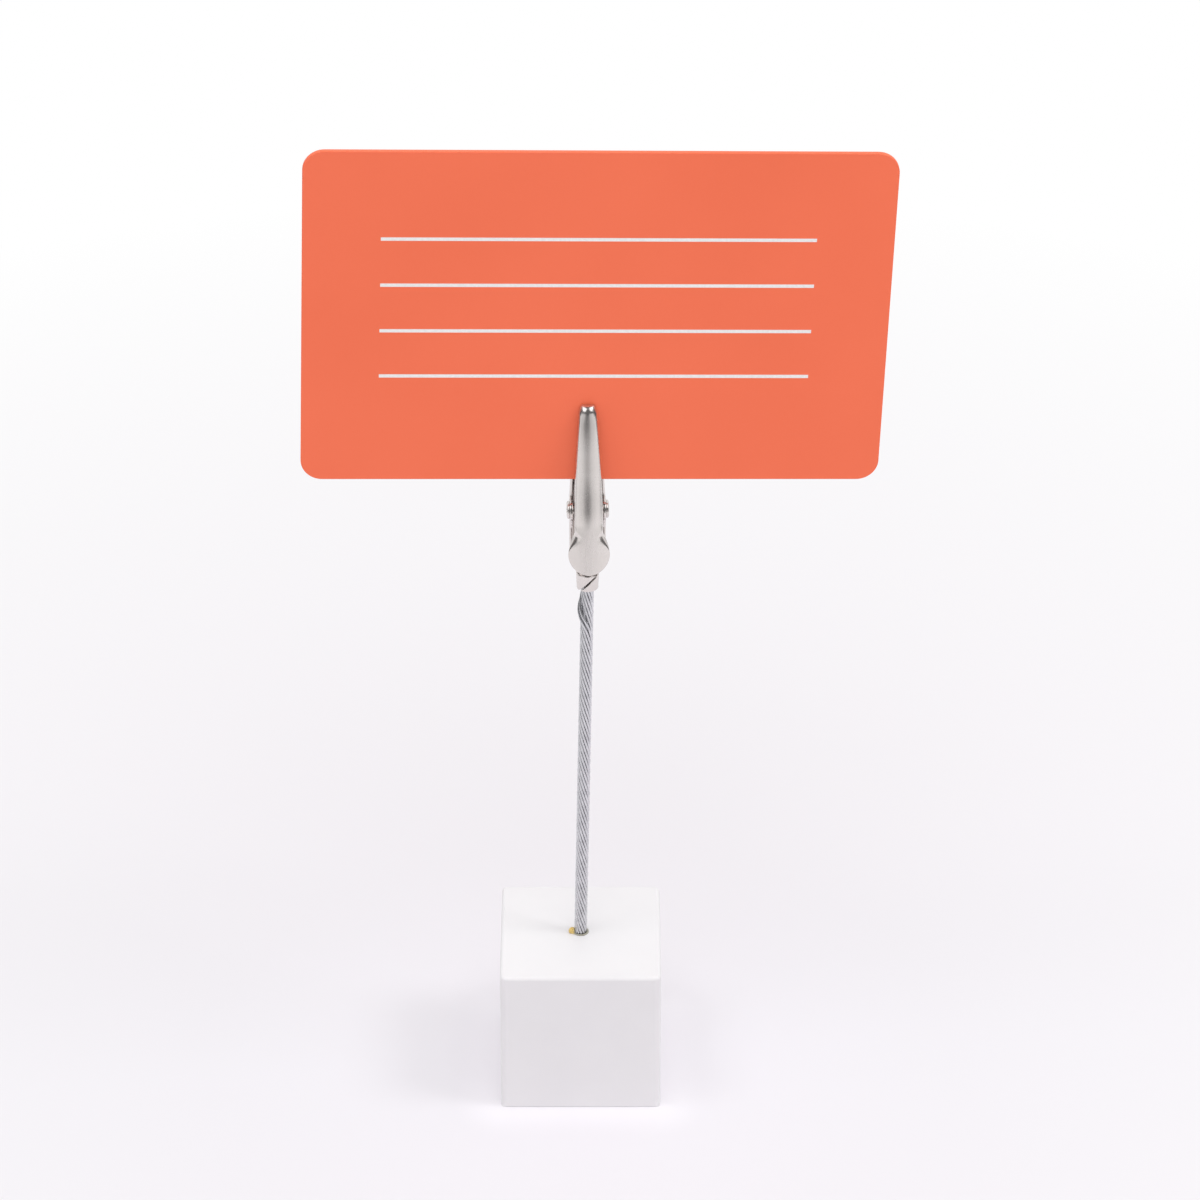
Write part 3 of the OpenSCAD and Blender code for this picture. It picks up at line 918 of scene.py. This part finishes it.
class Shader:
    """Short way to wire up one principled material."""

    def __init__(self, name):
        self.material = bpy.data.materials.new(name)
        self.material.use_nodes = True
        self.nodes = self.material.node_tree.nodes
        self.links = self.material.node_tree.links
        self.surface = self.nodes["Principled BSDF"]
        self.place = self.node("ShaderNodeTexCoord").outputs["Object"]

    def node(self, kind, **values):
        made = self.nodes.new(kind)
        for key, value in values.items():
            setattr(made, key, value)
        return made

    def set(self, **values):
        for key, value in values.items():
            self.surface.inputs[key.replace("_", " ")].default_value = value

    def link(self, output, name):
        self.links.new(output, self.surface.inputs[name])

    def stretched(self, scale):
        mapping = self.node("ShaderNodeMapping")
        mapping.inputs["Scale"].default_value = scale
        self.links.new(self.place, mapping.inputs["Vector"])
        return mapping.outputs["Vector"]

    def noise(self, scale, detail, vector=None):
        noise = self.node("ShaderNodeTexNoise")
        noise.inputs["Scale"].default_value = scale
        noise.inputs["Detail"].default_value = detail
        noise.inputs["Roughness"].default_value = NOISE_ROUGHNESS
        self.links.new(vector or self.place, noise.inputs["Vector"])
        return noise.outputs["Fac"]

    def ramp(self, value, low, high, start=0.3, end=0.7):
        """Colours or greys between low and high."""
        ramp = self.node("ShaderNodeValToRGB")
        for stop, (position, colour) in zip(ramp.color_ramp.elements, [(start, low), (end, high)]):
            stop.position = position
            grey = isinstance(colour, (int, float))
            stop.color = (colour, colour, colour, 1) if grey else (*colour, 1)
        self.links.new(value, ramp.inputs["Fac"])
        return ramp.outputs["Color"]

    def mixed(self, factor, a, b):
        """Blend of two colours, which are the node's inputs 6 and 7 and its output 2."""
        blender = self.node("ShaderNodeMix", data_type="RGBA")
        sockets = (blender.inputs[0], blender.inputs[6], blender.inputs[7])
        for socket, value in zip(sockets, (factor, a, b)):
            if isinstance(value, bpy.types.NodeSocket):
                self.links.new(value, socket)
            elif isinstance(value, (int, float)):
                socket.default_value = value
            else:
                socket.default_value = (*value, 1)
        return blender.outputs[2]

    def bump(self, *heights):
        """Each height is (value, distance in metres, strength)."""
        normal = None
        for value, distance, strength in heights:
            bump = self.node("ShaderNodeBump")
            bump.inputs["Distance"].default_value = distance
            bump.inputs["Strength"].default_value = strength
            self.links.new(value, bump.inputs["Height"])
            if normal is not None:
                self.links.new(normal, bump.inputs["Normal"])
            normal = bump.outputs["Normal"]
        self.link(normal, "Normal")

    def math(self, operation, a, b=0.0):
        made = self.node("ShaderNodeMath", operation=operation)
        for socket, value in zip(made.inputs, (a, b)):
            if isinstance(value, bpy.types.NodeSocket):
                self.links.new(value, socket)
            else:
                socket.default_value = value
        return made.outputs[0]

    def ranged(self, value, start, end):
        """Runs from nothing at start to one at end."""
        made = self.node("ShaderNodeMapRange")
        made.inputs["From Min"].default_value = start
        made.inputs["From Max"].default_value = end
        self.links.new(value, made.inputs["Value"])
        return made.outputs["Result"]


def white_paint():
    """Sprayed satin paint on fine-grained wood: faint grain, orange peel and slight unevenness."""
    s = Shader("white_paint")
    grain = s.noise(1.0, 4.0, s.stretched((90, 900, 900)))
    peel = s.noise(1500.0, 2.0)
    cloud = s.noise(70.0, 3.0)
    s.link(s.ramp(cloud, (0.785, 0.768, 0.785), (0.81, 0.793, 0.807)), "Base Color")
    s.link(s.ramp(peel, 0.40, 0.52), "Roughness")
    s.bump((grain, 0.000012, 0.35), (peel, 0.000010, 0.35))
    return s.material


def nickel_plate():
    """Bright nickel on stamped steel: faint drawing marks along the length and slightly dull patches."""
    s = Shader("nickel_plate")
    s.set(Metallic=1.0)
    drawn = s.noise(1.0, 3.0, s.stretched((3600, 3600, 160)))
    dull = s.noise(260.0, 3.0)
    s.link(s.ramp(dull, (0.735, 0.688, 0.668), (0.795, 0.748, 0.728)), "Base Color")
    s.link(s.mixed(0.4, s.ramp(dull, 0.22, 0.30), s.ramp(drawn, 0.20, 0.31)), "Roughness")
    s.bump((drawn, 0.0000015, 0.2), (dull, 0.000004, 0.2))
    return s.material


def rope_steel():
    """Galvanized wire: grey zinc with a faint mottle and drawing lines."""
    s = Shader("rope_steel")
    s.set(Metallic=1.0)
    mottle = s.noise(900.0, 4.0)
    drawn = s.noise(1.0, 2.0, s.stretched((9000, 9000, 500)))
    s.link(s.ramp(mottle, (0.57, 0.57, 0.595), (0.76, 0.76, 0.785)), "Base Color")
    s.link(s.ramp(mottle, 0.20, 0.34), "Roughness")
    s.bump((drawn, 0.000003, 0.25), (mottle, 0.000005, 0.25))
    return s.material


def spring_steel():
    """Drawn spring wire, darker than the plate."""
    s = Shader("spring_steel")
    s.set(Metallic=1.0)
    mottle = s.noise(1100.0, 3.0)
    s.link(s.ramp(mottle, (0.34, 0.335, 0.33), (0.48, 0.475, 0.47)), "Base Color")
    s.link(s.ramp(mottle, 0.26, 0.42), "Roughness")
    s.bump((mottle, 0.000005, 0.3))
    return s.material


def amber_glue():
    """Clear amber glue, deep yellow in the drop; the thin skirt and film are a dark olive grey, partly
    the glue's tint and partly painted shade at the rope's foot.
    """
    s = Shader("amber_glue")
    s.set(Roughness=0.16, IOR=1.5)
    split = s.node("ShaderNodeSeparateXYZ")
    s.links.new(s.place, split.inputs[0])
    cloud = s.noise(1800.0, 2.0)
    film_until = -0.0009
    drop_from = -0.0012
    leftness = s.ranged(split.outputs["X"], film_until, drop_from)
    amber = s.ramp(cloud, (0.94, 0.66, 0.20), (0.98, 0.78, 0.32))
    # Painted shade: the film's dark olive grey stands partly for the shade where the rope meets the
    # block.
    film_and_shade = s.ramp(cloud, (0.32, 0.305, 0.245), (0.42, 0.40, 0.33))
    s.link(s.mixed(leftness, film_and_shade, amber), "Base Color")
    s.link(s.ramp(leftness, 0.08, 0.38, 0.0, 1.0), "Transmission Weight")
    s.bump((cloud, 0.00001, 0.2))
    return s.material


def card_plastic():
    """Matt orange card with fine print grain and plain white writing lines on its front."""
    s = Shader("card_plastic")
    grain = s.noise(2600.0, 3.0)
    cloud = s.noise(28.0, 2.0)
    ground = s.ramp(cloud, (0.902, 0.155, 0.064), (0.938, 0.168, 0.072))
    to_card = s.node("ShaderNodeMapping", vector_type="TEXTURE")
    place = card_place()
    to_card.inputs["Location"].default_value = place.translation * MM
    to_card.inputs["Rotation"].default_value = place.to_euler("XYZ")
    s.links.new(s.place, to_card.inputs["Vector"])
    split = s.node("ShaderNodeSeparateXYZ")
    s.links.new(to_card.outputs["Vector"], split.inputs[0])
    lines = writing_lines(s, split)
    white = s.ramp(grain, (0.80, 0.79, 0.78), (0.88, 0.87, 0.86))
    s.link(s.mixed(lines, ground, white), "Base Color")
    s.link(s.ramp(grain, 0.44, 0.58), "Roughness")
    s.bump((grain, 0.000008, 0.3), (lines, 0.000010, 0.3))
    return s.material


def writing_lines(s, split):
    """Mask of four evenly spaced lines with a margin at both sides, on the card's front alone."""
    spacing = 0.0075
    half_line = 0.0003
    lowest = -0.0095
    highest = 0.0150
    half_length = 0.0315
    soft = 0.00006
    offset = s.math("SUBTRACT", split.outputs["Y"], lowest)
    row = s.math("PINGPONG", offset, spacing / 2)
    near = s.math("DIVIDE", s.math("SUBTRACT", half_line, row), soft)
    sideways = s.math("ABSOLUTE", split.outputs["X"])
    ends = s.math("DIVIDE", s.math("SUBTRACT", half_length, sideways), soft)
    low = s.math("DIVIDE", s.math("ADD", offset, spacing / 4), soft)
    high = s.math("DIVIDE", s.math("SUBTRACT", highest + spacing / 4, split.outputs["Y"]), soft)
    front = s.math("DIVIDE", s.math("SUBTRACT", split.outputs["Z"], CARD_T * MM / 4), soft)
    mask = s.math("MINIMUM", near, ends)
    for limit in (low, high, front):
        mask = s.math("MINIMUM", mask, limit)
    clamp = s.node("ShaderNodeClamp")
    s.links.new(mask, clamp.inputs["Value"])
    return clamp.outputs["Result"]


def painted_foot_light_mask(s):
    """Mask of the light painted on the floor: one at the block's foot, and nothing a little way off."""
    half_block = BASE_SIZE * MM / 2
    offset = s.place
    stages = [("ABSOLUTE", None), ("SUBTRACT", (half_block, half_block, 0)), ("MAXIMUM", (0, 0, 0))]
    for operation, value in stages:
        made = s.node("ShaderNodeVectorMath", operation=operation)
        s.links.new(offset, made.inputs[0])
        if value:
            made.inputs[1].default_value = value
        offset = made.outputs[0]
    gap = s.node("ShaderNodeVectorMath", operation="LENGTH")
    s.links.new(offset, gap.inputs[0])
    near = s.node("ShaderNodeMapRange", interpolation_type="SMOOTHSTEP")
    limits = [("From Min", 0.0), ("From Max", FLOOR_PAINTED_LIGHT_REACH * MM), ("To Min", 1.0), ("To Max", 0.0)]
    for key, number in limits:
        near.inputs[key].default_value = number
    s.links.new(gap.outputs["Value"], near.inputs["Value"])
    return near.outputs["Result"]


def floor_material():
    """Pale floor with painted light, lightest at the block's foot and a little lighter near the block to
    lift the shade there, that runs out to plain white away from the object.
    """
    s = Shader("studio_floor")
    s.set(Roughness=0.9, Specular_IOR_Level=0.1)
    distance = s.node("ShaderNodeVectorMath", operation="LENGTH")
    s.links.new(s.place, distance.inputs[0])
    away = s.ranged(distance.outputs["Value"], 0.0, FLOOR_REACH * MM)
    # Painted light: the floor is lightest at the block's foot and lighter near the block than in the
    # open, lifting the shade there
    painted_light_at_foot = (0.868, 0.838, 0.882)
    painted_light_near_block = (0.800, 0.772, 0.814)
    open_floor = (0.775, 0.748, 0.788)
    ground = s.ramp(away, painted_light_near_block, open_floor, FLOOR_NEAR_SHARE, FLOOR_OPEN_SHARE)
    s.link(s.mixed(painted_foot_light_mask(s), ground, painted_light_at_foot), "Base Color")
    rays = s.node("ShaderNodeLightPath")
    sees = s.math("MAXIMUM", rays.outputs["Is Camera Ray"], rays.outputs["Is Glossy Ray"])
    sees = s.math("MAXIMUM", sees, rays.outputs["Is Transmission Ray"])
    white = s.node("ShaderNodeEmission")
    either = s.node("ShaderNodeMixShader")
    s.links.new(s.math("MULTIPLY", away, sees), either.inputs[0])
    s.links.new(s.surface.outputs[0], either.inputs[1])
    s.links.new(white.outputs[0], either.inputs[2])
    s.links.new(either.outputs[0], s.nodes["Material Output"].inputs["Surface"])
    return s.material


# Stage, light and camera
def make_floor():
    """Square table top, which ends where its colour has run out to white."""
    reach = FLOOR_REACH
    corners = [(-reach, -reach, 0), (reach, -reach, 0), (reach, reach, 0), (-reach, reach, 0)]
    floor = new_object("floor", corners, [(0, 1, 2, 3)])
    to_metres(floor)
    floor.data.materials.append(floor_material())


def make_lamp(name, place, size, watts):
    lamp = bpy.data.lights.new(name, "AREA")
    lamp.shape = "DISK"
    lamp.size = size
    lamp.energy = watts
    obj = bpy.data.objects.new(name, lamp)
    bpy.context.scene.collection.objects.link(obj)
    obj.location = place
    obj.rotation_euler = (Vector(LIGHT_AIM) - Vector(place)).to_track_quat("-Z", "Y").to_euler()
    return obj


def make_light():
    """Soft lamps that light the object, and softboxes that only its shiny surfaces mirror."""
    for values in FILL_LAMPS:
        make_lamp(*values).visible_glossy = False
    for values in SOFTBOXES:
        make_lamp(*values).visible_diffuse = False


def make_world():
    """White backdrop and soft white light.

    Metal also mirrors the dim room: before, above and beside the object and low behind it,
    with a thinner grey veil round the part before it.
    """
    world = bpy.data.worlds.new("studio")
    bpy.context.scene.world = world
    world.use_nodes = True
    nodes = world.node_tree.nodes
    links = world.node_tree.links

    def math_node(operation, a, b):
        made = nodes.new("ShaderNodeMath")
        made.operation = operation
        for socket, value in zip(made.inputs, (a, b)):
            if isinstance(value, bpy.types.NodeSocket):
                links.new(value, socket)
            else:
                socket.default_value = value
        return made.outputs[0]

    def fade(value, start, end):
        """Runs from one at start to nothing at end."""
        made = nodes.new("ShaderNodeMapRange")
        made.interpolation_type = "SMOOTHSTEP"
        for key, number in [("From Min", start), ("From Max", end), ("To Min", 1.0), ("To Max", 0.0)]:
            made.inputs[key].default_value = number
        links.new(value, made.inputs["Value"])
        return made.outputs["Result"]

    def choose(factor, a, b):
        made = nodes.new("ShaderNodeMix")
        links.new(factor, made.inputs["Factor"])
        for key, value in [("A", a), ("B", b)]:
            if isinstance(value, bpy.types.NodeSocket):
                links.new(value, made.inputs[key])
            else:
                made.inputs[key].default_value = value
        return made.outputs["Result"]

    rays = nodes.new("ShaderNodeLightPath").outputs
    place = nodes.new("ShaderNodeTexCoord")
    split = nodes.new("ShaderNodeSeparateXYZ")
    links.new(place.outputs["Generated"], split.inputs[0])
    veil = math_node("MULTIPLY", fade(split.outputs["Y"], *ROOM_VEIL), ROOM_VEIL_SHARE)
    before = math_node("MAXIMUM", fade(split.outputs["Y"], *ROOM_BEFORE), veil)
    above = math_node("SUBTRACT", 1.0, fade(split.outputs["Z"], *ROOM_ABOVE))
    sideways = math_node("ABSOLUTE", split.outputs["X"], 0.0)
    beside = math_node("SUBTRACT", 1.0, fade(sideways, *ROOM_BESIDE))
    around = math_node("MAXIMUM", above, beside)
    before_backdrop = math_node("MULTIPLY", around, fade(split.outputs["Y"], *ROOM_TO_BACKDROP))
    far_side = math_node("SUBTRACT", 1.0, fade(split.outputs["Y"], *ROOM_FAR_SIDE))
    low = math_node("MULTIPLY", fade(split.outputs["Z"], *ROOM_LOW), ROOM_LOW_SHARE)
    under_backdrop = math_node("MULTIPLY", far_side, low)
    room = math_node("MAXIMUM", before, math_node("MAXIMUM", before_backdrop, under_backdrop))
    mirrored = math_node("SUBTRACT", 1.0, math_node("MULTIPLY", room, ROOM_DIM))
    strength = choose(rays["Is Glossy Ray"], AMBIENT, mirrored)
    seen = math_node("MAXIMUM", rays["Is Camera Ray"], rays["Is Transmission Ray"])
    links.new(choose(seen, strength, 1.0), nodes["Background"].inputs["Strength"])
    nodes["Background"].inputs["Color"].default_value = (1, 1, 1, 1)


def make_camera():
    data = bpy.data.cameras.new("camera")
    data.sensor_width = SENSOR_MM
    data.lens = FOCAL_PIXELS / PHOTO_PIXELS * SENSOR_MM
    data.clip_start = CAMERA_NEAR
    data.clip_end = CAMERA_FAR
    camera = bpy.data.objects.new("camera", data)
    bpy.context.scene.collection.objects.link(camera)
    back = Vector((0, -cos_deg(CAMERA_ELEVATION), sin_deg(CAMERA_ELEVATION)))
    camera.location = Vector(CAMERA_TARGET) + back * CAMERA_DISTANCE
    camera.rotation_euler = (-back).to_track_quat("-Z", "Y").to_euler()
    bpy.context.scene.camera = camera


make_camera()
nickel = nickel_plate()
make_block(white_paint())
make_glue(amber_glue())
make_rope(rope_steel())
make_fixed_jaw(nickel)
make_lever(nickel)
make_rivet(nickel)
make_spring(spring_steel())
make_card(card_plastic())
make_floor()
make_light()
make_world()
bpy.context.scene.view_settings.view_transform = "Standard"
